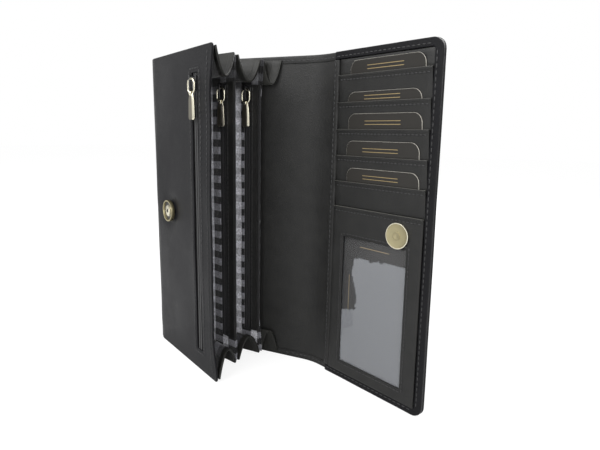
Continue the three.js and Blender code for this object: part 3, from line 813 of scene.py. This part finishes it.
def lathed(name, radius, depth, steps):
    obj = primitive("cylinder", vertices=56, radius=radius, depth=depth, rotation=(math.pi / 2, 0, 0))
    obj.name = name
    shaped(obj, lambda co: Vector((co.x, co.y - depth / 2, co.z)))
    for inset, push in steps:
        near = max((p.area, p.index) for p in obj.data.polygons
                   if p.normal.y < -0.9 and math.hypot(p.center.x, p.center.z) < 0.01)[1]
        centre = obj.data.polygons[near].center.copy()
        pickFaces(obj, lambda c, n: (c - centre).length < 1e-4 and n.y < -0.9)
        if inset:
            bpy.ops.mesh.inset(thickness=inset, depth=0)
        if push:
            bpy.ops.mesh.extrude_region_move(TRANSFORM_OT_translate={"value": (0, push, 0)})
        objectMode()
    return obj


def makeSnap():
    socket = lathed("snap_socket_ring", snap["radius"], snap["socketDepth"], snap["socket"])
    rounded(socket, 0.16, 2, 30)

    # Painted shade: the sunken well and the centre hole are painted black; the outer rim takes the satin
    # plating.
    def socketTone(face):
        reach = math.hypot(face.center.x, face.center.z)
        if reach > snap["rim"]:
            return 2
        return reach < snap["holeShadeReach"] or (reach > snap["wellShadeReach"] and face.center.y > snap["wellShadeY"])
    paintBy(socket, (brightMetal, recessShade, discMetal), socketTone)
    socket.data.transform(Matrix.Translation((snap["socketX"], -0.75, snap["z"])))
    finish(socket, "front", "front_panel", "snap_socket", slot="metal_pale_gold")

    stud = rounded(lathed("snap_stud_disc", snap["radius"], snap["discDepth"], snap["stud"]), 0.1, 2, 30)
    paintBy(stud, (brightMetal, discMetal),
            lambda face: math.hypot(face.center.x, face.center.z) < snap["studRim"])
    stud.data.transform(Matrix.Translation((snap["studX"], cardWall["front"] - 0.15, snap["z"])))
    finish(stud, "flap", "flap", "snap_stud", slot="metal_pale_gold")


makeSnap()
print("snap made")

# ---- front panel
front = {
    "depth": 82.6, "slot": (57.1, 13.5, 64.1, 181.5), "cell": 2.4, "stack": 3.8, "radius": 2.0, "fine": 0.5,
    "dimple": 1.0, "roll": 4.0, "rollDepth": 1.4, "bowStart": 67.5, "bow": 5.4, "corner": 1.1,
    "liningBow": 6.9, "liningCorner": 2.0, "liningStart": 3.0, "liningSlope": 66.1, "liningEnd": 81.6,
    "slotSew": (54.6, 11.3, 66.6, 183.7), "mouthSew": ((77.2, 3.0), (77.2, 192.0)),
}


def frontWave(x, z):
    reach = math.hypot(x - snap["socketX"], z - snap["z"])
    dimple = front["dimple"] * math.exp(-(max(0.0, reach - snap["radius"]) / 4) ** 2)
    sides = min(1.0, min(z, wallet["height"] - z) / 12)
    near = math.exp(-((x - 60.6) / 7) ** 2) * math.sin(math.pi * z / wallet["height"])
    # The leather rolls over at the closed edge.
    turn = front["rollDepth"] * max(0.0, 1 - x / front["roll"]) ** 2
    return dimple + turn + sides * ripple(x, z, 0.55, 30.0, 11.0) - 0.3 * near


# Softened by use, a leaf's mouth edge draws in between its corners.
def mouthBow(depth, start, bow, corner=0.3):
    def move(co):
        share = min(max(0.0, (co.x - start) / (depth - start)), 1.0)
        fromEnd = min(1.0, max(0.0, min(co.z, wallet["height"] - co.z) / 30))
        amount = corner + (bow - corner) * fromEnd * fromEnd * (3 - 2 * fromEnd)
        return co - Vector((amount * share, 0, 0))
    return move


def makeFrontPanel():
    x0, z0, x1, z1 = front["slot"]
    top = wallet["height"]
    r, cell, fine = front["radius"], front["cell"], front["fine"]
    c = front["depth"] - r
    xs = runs(-0.5, (x0, cell), (x1, 1.8), (c, cell), (front["depth"], fine))
    zs = runs(0, (r, fine), (z0, cell), (z1, cell), (top - r, cell), (top, fine))
    sheet = sheetPiece("front_leather_panel", xs, zs, -0.6, 1.2, hole=front["slot"], wave=frontWave,
                       corners=[(c, top - r, 1, 1), (c, r, 1, -1)])
    rounded(sheet, 0.42, 3)
    paint(sheet, outerLeather)

    left, low, right, high = front["slotSew"]
    rows = [stitchRow(-0.62, a, b) for a, b in (
        ((left, low + 0.7), (left, high - 0.7)), ((right, low + 0.7), (right, high - 0.7)), front["mouthSew"],
        ((left, low), (right, low)), ((left, high), (right, high)))]
    merged(sheet, *(shaped(row, lambda co: co + Vector((0, frontWave(co.x, co.z), 0))) for row in rows))
    shaped(sheet, mouthBow(front["depth"], front["bowStart"], front["bow"], front["corner"]))
    finish(sheet, "front", "front_panel", "front_leather")

    # Check lining behind it, drawing in to the leather towards the mouth.
    slope, end, cloth = front["liningSlope"], front["liningEnd"], 0.6
    inner = front["stack"] - cloth
    xs = runs(front["liningStart"], (slope, cell), (end, 1.5))

    def liningPlace(x, z):
        thin = max(0.0, (x - slope) / (end - slope))
        return inner + (0.7 - inner) * thin + (1 - thin) * abs(ripple(x, z, 0.25, 14.0, 21.0))

    lining = sheetPiece("front_cloth", xs, cuts(1, top - 1, cell), 0, cloth, wave=liningPlace)
    shaped(lining, mouthBow(front["depth"], front["bowStart"], front["liningBow"], front["liningCorner"]))
    rounded(lining, 0.12, 2)
    paint(lining, cloths["front"])
    finish(lining, "front", "front_panel", "front_lining", slot="lining_check")


makeFrontPanel()
print("front panel made")


# ---- dividers
dividerShape = {
    "face": 1.6, "facing": 7.0, "leather": 1.2, "cloth": 0.6, "zipEnd": 17.0, "endInset": 2.0,
    "root": 0.3, "start": 2.5, "frontOpen": 0.4, "backOpen": 1.5, "mouthOpen": 0.5, "cell": 2.4,
}
dividers = {
    "divider_1": {"leaf": "dividerOne", "depth": 71.3, "slot": 6.4, "bow": 1.4, "backPast": -0.8},
    "divider_2": {"leaf": "dividerTwo", "depth": 76.6, "slot": 5.4, "bow": 2.5, "backPast": 0.9},
}


def wallGap(x, z, slotEdge, depth, side):
    d = dividerShape
    along = min(1.0, (x - d["start"]) / (slotEdge - d["start"]))
    wide = d["frontOpen"] if side < 0 else d["backOpen"]
    if side > 0 and x > slotEdge:
        wide += (d["mouthOpen"] - wide) * (x - slotEdge) / (depth - slotEdge)
    fromEnd = min(z, wallet["height"] - z)
    pinch = min(max((fromEnd - d["endInset"]) / (d["zipEnd"] - d["endInset"]), 0), 1)
    pinch = pinch * pinch * (3 - 2 * pinch)
    return d["root"] + (wide - d["root"]) * along * pinch


# The walls ripple most in their middles and lie still where they are sewn.
def wallRipple(x, z, size, seed):
    still = min(1.0, (x - dividerShape["start"]) / 20) * min(1.0, min(z, wallet["height"] - z) / 10)
    return still * abs(ripple(x, z, size, 13.0, seed))


def makeDivider(name):
    d, own = dividerShape, dividers[name]
    leaf, depth = own["leaf"], own["depth"]
    top = wallet["height"]
    facingEdge = depth - d["facing"]
    clothEdge = facingEdge - own["slot"]
    low, high = d["zipEnd"], top - d["zipEnd"]
    fold = 0.9
    drawIn = mouthBow(depth, facingEdge + fold, own["bow"])

    # Leather facing along the mouth, turned over at both long edges and stitched beside the zip.
    facing = sheetPiece(f"{name}_facing_strip", cuts(facingEdge, depth, fold), cuts(low, high, 3.0),
                        -d["face"], d["leather"], wave=lambda x, z: ripple(x * 0.3, z, 0.14, 16.0, depth))
    for edge in (facingEdge, depth):
        pushFaces(facing, lambda c, n, edge=edge: abs(c.x - edge) < fold and n.y < -0.7, (0, -0.12, 0))
    rounded(facing, 0.28, 3)
    paint(facing, innerLeather)
    merged(facing, stitchRow(-d["face"] - 0.05, (facingEdge + fold, low + 1), (facingEdge + fold, high - 1)))
    shaped(facing, drawIn)
    finish(facing, leaf, name, f"{name}_facing", slot="leather_inner")

    # Front wall of check cloth: it stops at the zip with a folded edge and goes round its ends to the mouth.
    start, cell, inset = d["start"], d["cell"], d["endInset"]
    xs = runs(start, (clothEdge, cell), (depth, 1.6))
    zs = runs(inset, (low, 1.5), (high, cell), (top - inset, 1.5))

    def frontPlace(x, z):
        return -wallGap(x, z, clothEdge, depth, -1) - d["cloth"] - wallRipple(x, z, 0.3, depth * 2)
    frontWall = sheetPiece(f"{name}_front_cloth", xs, zs, 0, d["cloth"],
                           hole=(clothEdge, low, depth + 1, high), wave=frontPlace)
    pushFaces(frontWall, lambda c, n: clothEdge - cell < c.x < clothEdge and low < c.z < high and n.y < -0.7,
              (0, -0.25, 0))

    # Back wall: it comes up to the mouth and its fold shows beside the facing.
    backWall = sheetPiece(
        f"{name}_back_cloth", runs(start, (facingEdge, cell), (depth + own["backPast"], 1.25)),
        cuts(inset, top - inset, cell), 0, d["cloth"],
        wave=lambda x, z: wallGap(min(x, depth), z, facingEdge, depth, 1) + wallRipple(x, z, 0.25, depth * 3))
    for wall, node in ((frontWall, f"{name}_front_wall"), (backWall, f"{name}_back_wall")):
        rounded(shaped(wall, drawIn), 0.12, 2)
        paint(wall, cloths[leaf])
        finish(wall, leaf, name, node, slot="lining_check")


for name in dividers:
    makeDivider(name)
print("dividers made")


# ---- zips
# In each leaf's frame: the slider's middle, the zip's two ends, and how far its ring hangs askew.
zipPlaces = {
    "front_zip": {
        "body": "front_panel", "leaf": "front",
        "middle": (60.6, 0.0, 175.7), "ends": (13.7, 181.3), "turn": 11},
    "divider_1_zip": {
        "body": "divider_1", "leaf": "dividerOne",
        "middle": (61.6, -1.0, 172.4), "ends": (17, 178), "turn": 8},
    "divider_2_zip": {
        "body": "divider_2", "leaf": "dividerTwo",
        "middle": (66.9, -1.0, 172.9), "ends": (17, 178), "turn": 0},
}


def zipMatrix(name, z=0.0):
    x, y = zipPlaces[name]["middle"][:2]
    local = Matrix.Translation((x, y, z)) @ Matrix.Rotation(math.pi, 4, "Z")
    return leafMatrix(zipPlaces[name]["leaf"]) @ local


def hangingMatrix(name, z):
    askew = Matrix.Rotation(math.radians(zipPlaces[name]["turn"]), 4, "Z")
    return zipMatrix(name) @ Matrix.Translation((0, ring["pivotY"], z)) @ askew


slider = {
    "halfWidth": 2.4, "halfLength": 4.0, "plates": ((0.2, 1.0), (-2.3, -1.5)), "nose": 0.78, "noseEnd": 1.0,
    "post": ((-0.2, -1.7, 0.0), (0.2, 0.4, 3.6)), "bailHalf": 0.5, "bailFoot": 0.9, "bailOpen": 3.3,
    "roof": 3.45, "bailThick": 0.5,
}


def makeSlider(name):
    half, length, opening, roof = (slider[k] for k in ("halfWidth", "halfLength", "bailOpen", "roof"))
    plates = []
    for y0, y1 in slider["plates"]:
        plate = box("plate", (-half, y0, -length), (half, y1, length))
        bisect(plate, (0, 0, slider["noseEnd"]), (0, 0, 1))
        # The nose is narrower where the teeth leave it closed.
        shaped(plate, lambda co: Vector((co.x * (slider["nose"] if co.z < 0 else 1.0), co.y, co.z)))
        plates.append(rounded(plate, 0.3, 3))
    post = rounded(box("post", *slider["post"]), 0.08, 2)
    wide = slider["bailHalf"]
    bail = box("bail", (-wide, slider["bailFoot"], -length), (wide, roof + slider["bailThick"], length))
    for z in (-opening, opening):
        bisect(bail, (0, 0, z), (0, 0, 1))
    bisect(bail, (0, roof, 0), (0, 1, 0))
    pickFaces(bail, lambda c, n: abs(n.x) > 0.9 and abs(c.z) < opening and c.y < roof)
    bpy.ops.mesh.bridge_edge_loops()
    objectMode()
    body = merged(*plates, post, rounded(bail, 0.28, 3))
    body.name = f"{name}_slider_body"
    # The whole slider, bail and all, is painted near black as painted shade.
    paint(body, sliderShade)
    node = f"{name}_slider"
    mount(body, zipMatrix(name, zipPlaces[name]["middle"][2]), node, "metal_pale_gold", node)


ring = {"barRadius": 0.6, "radius": 2.7, "reach": 8.0, "pivotY": 2.5}


def makeRing(name, pivotZ):
    r = ring["radius"]
    loop = primitive("torus", major_radius=r, minor_radius=ring["barRadius"], major_segments=40,
                     minor_segments=12, rotation=(math.pi / 2, 0, 0))
    stretch = ring["reach"] - 2 * r
    shaped(loop, lambda co: Vector((co.x, co.y, co.z - r - (stretch if co.z < -0.001 else 0.0))))
    bpy.ops.object.shade_smooth()
    loop.name = f"{name}_ring_loop"
    paint(loop, brightMetal)
    mount(loop, hangingMatrix(name, pivotZ), f"{name}_ring", "metal_pale_gold", f"{name}_ring")


# "widths" gives the tab's share of its full width at each height, and the ridge runs between a broad
# and a narrow facet of its outer face.
pull = {
    "length": 14.5, "halfWidth": 2.7, "back": -0.5, "face": 0.35, "head": 0.9, "ridgeX": -1.2, "ridge": 0.45,
    "widths": {-14.5: 0.7, -13.8: 0.95, -12.9: 1.0, -3.2: 0.86, -1.8: 0.7, 0.9: 0.55},
    "eyeRadius": 1.15, "eyeBar": 0.36, "eyeWidth": 2.6,
}


def makePull(name, pivotZ):
    half, length, ridgeX, widths = pull["halfWidth"], pull["length"], pull["ridgeX"], pull["widths"]
    tab = box(f"{name}_pull_tab", (-half, pull["back"], -length), (half, pull["face"], pull["head"]))
    for z in list(widths)[1:-1]:
        bisect(tab, (0, 0, z), (0, 0, 1))
    bisect(tab, (ridgeX, 0, 0), (1, 0, 0))

    def worked(co):
        share = widths[min(widths, key=lambda z: abs(z - co.z))]
        onRidge = abs(co.x - ridgeX) < 0.01 and co.y > 0.3 and -length + 0.6 < co.z < 0
        return Vector((co.x * share, co.y + (pull["ridge"] if onRidge else 0.0), co.z))
    shaped(tab, worked)
    # Painted shade: the broad facet takes the darker copy of the plating, and the narrow facet stays bright.
    paintBy(tab, (brightMetal, shadedFacetMetal), lambda face: face.normal.x > 0.06 and face.normal.y > 0.2)
    rounded(tab, 0.12, 2, 20)
    eye = primitive("torus", major_radius=pull["eyeRadius"], minor_radius=pull["eyeBar"], major_segments=24,
                    minor_segments=10, rotation=(0, math.pi / 2, 0))
    shaped(eye, lambda co: Vector((co.x * pull["eyeWidth"], co.y, co.z)))
    bpy.ops.object.shade_smooth()
    merged(tab, paint(eye, brightMetal))
    mount(tab, hangingMatrix(name, pivotZ - ring["reach"]), f"{name}_pull", "metal_pale_gold", f"{name}_pull")


# A nylon coil each side of the gap, the two rows a little out of step.
coil = {"pitch": 1.3, "inner": 0.25, "outer": 1.9, "back": -1.2, "face": -0.15, "high": 0.85, "step": 0.39}


def makeTeeth(name):
    low, high = zipPlaces[name]["ends"]
    rows = []
    for side in (-1, 1):
        x0, x1 = sorted((side * coil["inner"], side * coil["outer"]))
        tooth = rounded(box("turn", (x0, coil["back"], 0), (x1, coil["face"], coil["high"])), 0.22, 2)
        rows.append(repeated(tooth, int((high - low) / coil["pitch"]), (0, 0, coil["pitch"])))
    teeth = merged(*rows)
    shaped(teeth, lambda co: co + Vector((0, 0, low + 0.2 + (coil["step"] if co.x > 0 else 0.0))))
    teeth.name = f"{name}_coil"
    paint(teeth, teethBlack)
    mount(teeth, zipMatrix(name), zipPlaces[name]["body"], "zip_tape")


for name in zipPlaces:
    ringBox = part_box(f"{name}_ring")
    pivotZ = (ringBox[0].z + ringBox[1].z) * 500 + ring["reach"] / 2
    makeSlider(name)
    makeRing(name, pivotZ)
    makePull(name, pivotZ)
    makeTeeth(name)
print("zips made")

# ---- gussets
gusset = {
    "dip": 14.0, "dipFactor": 3.8, "thick": 0.8, "hemThick": 1.35, "across": 20, "along": 26, "hemAlong": 4,
    "hem": 4.2 / 65, "start": 11.0, "clear": 1.5, "end": 0.995,
}


def onLeaf(leaf, along, offset):
    x, y, angle = leaves[leaf]
    a = math.radians(angle)
    return Vector((x + along * math.cos(a) + offset * math.sin(a),
                   y - along * math.sin(a) + offset * math.cos(a)))


def alongLeaf(leaf, end, offset):
    return lambda t: onLeaf(leaf, gusset["start"] + (end - gusset["start"]) * t, offset)


def frontEdge(t):
    # The front's layers thin out over the last fifth of the rim.
    return alongLeaf("front", 80.6, 4.4 - 2.4 * max(0.0, t - 0.8) / 0.2)(t)


def backEdge(t):
    return Vector((22 + (89.3 - 22) * t - 8 * (1 - t ** 6), wallet["backInner"] - 0.6))


side = gusset["clear"]
one, two = dividers["divider_1"], dividers["divider_2"]
gussetLines = {
    "gusset_1": {"bodies": ("front_panel", "divider_1"), "inset": 1.0,
                 "a": frontEdge, "b": alongLeaf(one["leaf"], one["depth"], -side)},
    "gusset_2": {"bodies": ("divider_1", "divider_2"), "inset": 1.7,
                 "a": alongLeaf(one["leaf"], one["depth"], side),
                 "b": alongLeaf(two["leaf"], two["depth"], -side)},
    "gusset_3": {"bodies": ("divider_2", "back"), "inset": 2.4,
                 "a": alongLeaf(two["leaf"], two["depth"], side), "b": backEdge},
}


def gussetSpot(lines, u, v, isTop):
    a, b = lines["a"](v), lines["b"](v)
    width = (b - a).length
    dip = min(gusset["dip"], width * width / gusset["dipFactor"])
    spot = a.lerp(b, u)
    z = wallet["height"] - lines["inset"] - dip * 4 * u * (1 - u)
    return Vector((spot.x, spot.y, z if isTop else wallet["height"] - z))


def gussetSheet(name, lines, isTop, v0, v1, along, thickness):
    obj = primitive("grid", x_subdivisions=gusset["across"], y_subdivisions=along, size=1)
    obj.name = name
    # Lying flat it runs from one leaf at x 0 to the next at x 1, and from the closed edge to the mouth in y.
    shaped(obj, lambda co: Vector((co.x + 0.5, v0 + (v1 - v0) * (co.y + 0.5), 0)))
    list(lines["bodies"])
    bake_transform(obj)
    shaped(obj, lambda co: gussetSpot(lines, co.x, co.y, isTop))
    return applied(obj, "SOLIDIFY", thickness=thickness, offset=0)


def makeGusset(name, isTop):
    lines, node = gussetLines[name], f"{name}_{'top' if isTop else 'bottom'}"
    up = 1 if isTop else -1
    sheet = gussetSheet(f"{node}_fold", lines, isTop, 0.0, gusset["end"], gusset["along"], gusset["thick"])
    paintBy(sheet, (gussetLeather, gussetCloth), lambda face: face.normal.z * up < -0.05)
    hem = gussetSheet("hem", lines, isTop, 1 - gusset["hem"], 1.0, gusset["hemAlong"], gusset["hemThick"])
    merged(sheet, paint(rounded(hem, 0.3, 2, 50), gussetLeather))
    onlySelect(sheet)
    bpy.ops.object.shade_smooth_by_angle(angle=math.radians(45))
    sheet.data.transform(Matrix.Scale(0.001, 4))
    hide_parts(node)


for name in gussetLines:
    for isTop in (True, False):
        makeGusset(name, isTop)
print("gussets made")

# ---- carried-over nodes
for name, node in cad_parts.items():
    if name.endswith("_tape") or name == "front_zip_pocket":
        paint(node, tapeBlack)
    elif name.endswith("_plate"):
        paint(node, brightMetal)


# ---- studio
studio = {
    "ambient": 0.55, "floorGlow": 1.17, "floorShare": 0.72,
    "lamps": {  # place, target, size and power
        "key": ((-0.35, -0.75, 0.75), (0.08, 0, 0.09), (0.6, 0.6), 9.0),
        "fill": ((0.75, -0.7, 0.45), (0.1, 0, 0.09), (0.5, 0.7), 4.0),
        "behind": ((0.45, 0.85, 0.6), (0.09, 0, 0.09), (0.6, 0.6), 7.0),
    },
}


def areaLight(name, place, target, size, power):
    data = bpy.data.lights.new(name, "AREA")
    data.shape = "RECTANGLE"
    data.size, data.size_y = size
    data.energy = power
    lamp = bpy.data.objects.new(name, data)
    aim = (Vector(target) - Vector(place)).to_track_quat("-Z", "Y").to_matrix().to_4x4()
    lamp.matrix_world = Matrix.Translation(place) @ aim
    bpy.context.scene.collection.objects.link(lamp)


def makeStudio():
    world = bpy.data.worlds.new("studio")
    bpy.context.scene.world = world
    world.use_nodes = True
    tree = world.node_tree
    tree.nodes.clear()
    path = addNode(tree, "ShaderNodeLightPath")
    seen = path.outputs["Is Camera Ray"]
    for ray in ("Is Glossy Ray", "Is Transmission Ray"):
        seen = addNode(tree, "ShaderNodeMath", {"operation": "MAXIMUM"}, {
            0: seen, 1: path.outputs[ray]}).outputs["Value"]
    level = addNode(tree, "ShaderNodeMapRange", {"To Min": studio["ambient"], "To Max": 1.0}, {
        "Value": seen})
    sky = addNode(tree, "ShaderNodeBackground", {"Color": (1, 1, 1, 1)}, {
        "Strength": level.outputs["Result"]})
    addNode(tree, "ShaderNodeOutputWorld", links={"Surface": sky.outputs["Background"]})

    for name, lamp in studio["lamps"].items():
        areaLight(name, *lamp)

    floor = primitive("plane", size=8, location=(0, 0, -0.0002))
    floor.name = "floor"
    material, tree, shader, place = startMaterial("paper_sweep_white", {
        "Base Color": toLinear("#f4f4f4"), "Roughness": 0.9})
    path = addNode(tree, "ShaderNodeLightPath")
    glow = addNode(tree, "ShaderNodeEmission", {"Strength": studio["floorGlow"]})
    mix = addNode(tree, "ShaderNodeMixShader", links={1: shader.outputs["BSDF"], 2: glow.outputs["Emission"]})
    share = addNode(tree, "ShaderNodeMath", {"operation": "MULTIPLY", 1: studio["floorShare"]}, {
        0: path.outputs["Is Camera Ray"]})
    tree.links.new(share.outputs["Value"], mix.inputs["Fac"])
    output = next(n for n in tree.nodes if n.type == "OUTPUT_MATERIAL")
    tree.links.new(mix.outputs["Shader"], output.inputs["Surface"])
    paint(floor, material)


makeStudio()
print("studio made")
